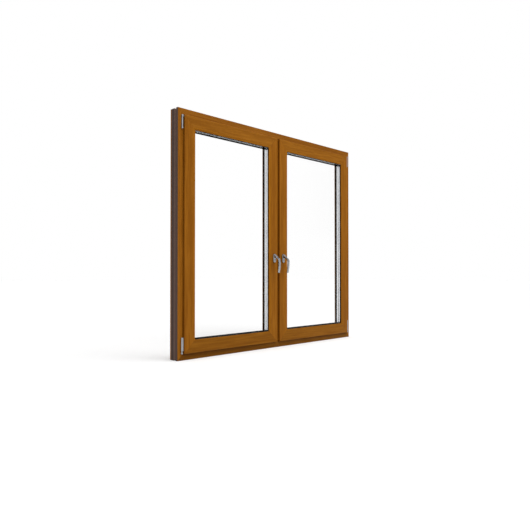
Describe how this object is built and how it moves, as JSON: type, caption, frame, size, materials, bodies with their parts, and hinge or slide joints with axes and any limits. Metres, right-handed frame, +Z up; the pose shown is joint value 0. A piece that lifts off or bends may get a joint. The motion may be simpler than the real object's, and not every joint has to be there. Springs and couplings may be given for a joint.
{
  "type": "two-sash pvc window",
  "caption": "Two-sash inward opening window with a fixed mullion, wood-grain foil on mitred profiles, sealed triple glazing, corner hinges and lever handles.",
  "frame": {"origin": "middle of the sill's flat underside, halfway through the frame's depth", "axes": "+X to the right seen from the room, +Y towards the outside, +Z up"},
  "size_m": [1.6, 0.1518, 1.435],
  "materials": {
    "frame_profile": "golden oak wood-grain foil on the room and outside faces, chocolate-brown plastic core on the edges",
    "sash_profile": "golden oak wood-grain foil, satin",
    "glazing_bead": "golden oak wood-grain foil, satin",
    "glass": "clear float glass",
    "spacer_bar": "mill-finish bar between the panes",
    "rubber_seal": "black extruded seal",
    "hinge_cover": "silver lacquered cover",
    "handle_metal": "satin silver",
    "drain_cap": "brown moulded plastic"
  },
  "bodies": {
    "window": {"frame_head": "frame_profile", "frame_sill": "frame_profile", "frame_jamb_left": "frame_profile", "frame_jamb_right": "frame_profile", "frame_mullion": "frame_profile", "left_sash_top_rail": "sash_profile", "left_sash_bottom_rail": "sash_profile", "left_sash_hinge_stile": "sash_profile", "left_sash_lock_stile": "sash_profile", "left_bead_top": "glazing_bead", "left_bead_bottom": "glazing_bead", "left_bead_hinge": "glazing_bead", "left_bead_lock": "glazing_bead", "left_glass_panes": "glass", "left_glass_spacers": "spacer_bar", "left_inner_glazing_gasket": "rubber_seal", "left_outer_glazing_gasket": "rubber_seal", "left_overlap_seal": "rubber_seal", "left_stop_seal": "rubber_seal", "left_hinge_top_frame_part": "hinge_cover", "left_hinge_top_sash_part": "hinge_cover", "left_hinge_bottom_frame_part": "hinge_cover", "left_hinge_bottom_sash_part": "hinge_cover", "left_handle_rosette": "handle_metal", "right_sash_top_rail": "sash_profile", "right_sash_bottom_rail": "sash_profile", "right_sash_hinge_stile": "sash_profile", "right_sash_lock_stile": "sash_profile", "right_bead_top": "glazing_bead", "right_bead_bottom": "glazing_bead", "right_bead_hinge": "glazing_bead", "right_bead_lock": "glazing_bead", "right_glass_panes": "glass", "right_glass_spacers": "spacer_bar", "right_inner_glazing_gasket": "rubber_seal", "right_outer_glazing_gasket": "rubber_seal", "right_overlap_seal": "rubber_seal", "right_stop_seal": "rubber_seal", "right_hinge_top_frame_part": "hinge_cover", "right_hinge_top_sash_part": "hinge_cover", "right_hinge_bottom_frame_part": "hinge_cover", "right_hinge_bottom_sash_part": "hinge_cover", "right_handle_rosette": "handle_metal", "drain_caps": "drain_cap"},
    "lever_left": {"left_handle_lever": "handle_metal"},
    "lever_right": {"right_handle_lever": "handle_metal"}
  },
  "joints": [
    {"name": "left_handle_turn", "type": "hinge", "parent": "window", "child": "lever_left", "pos_m": [-0.04225, -0.063, 0.61], "axis": [0, 1, 0], "range_deg": [0, 180]},
    {"name": "right_handle_turn", "type": "hinge", "parent": "window", "child": "lever_right", "pos_m": [0.04225, -0.063, 0.61], "axis": [0, -1, 0], "range_deg": [0, 180]}
  ]
}
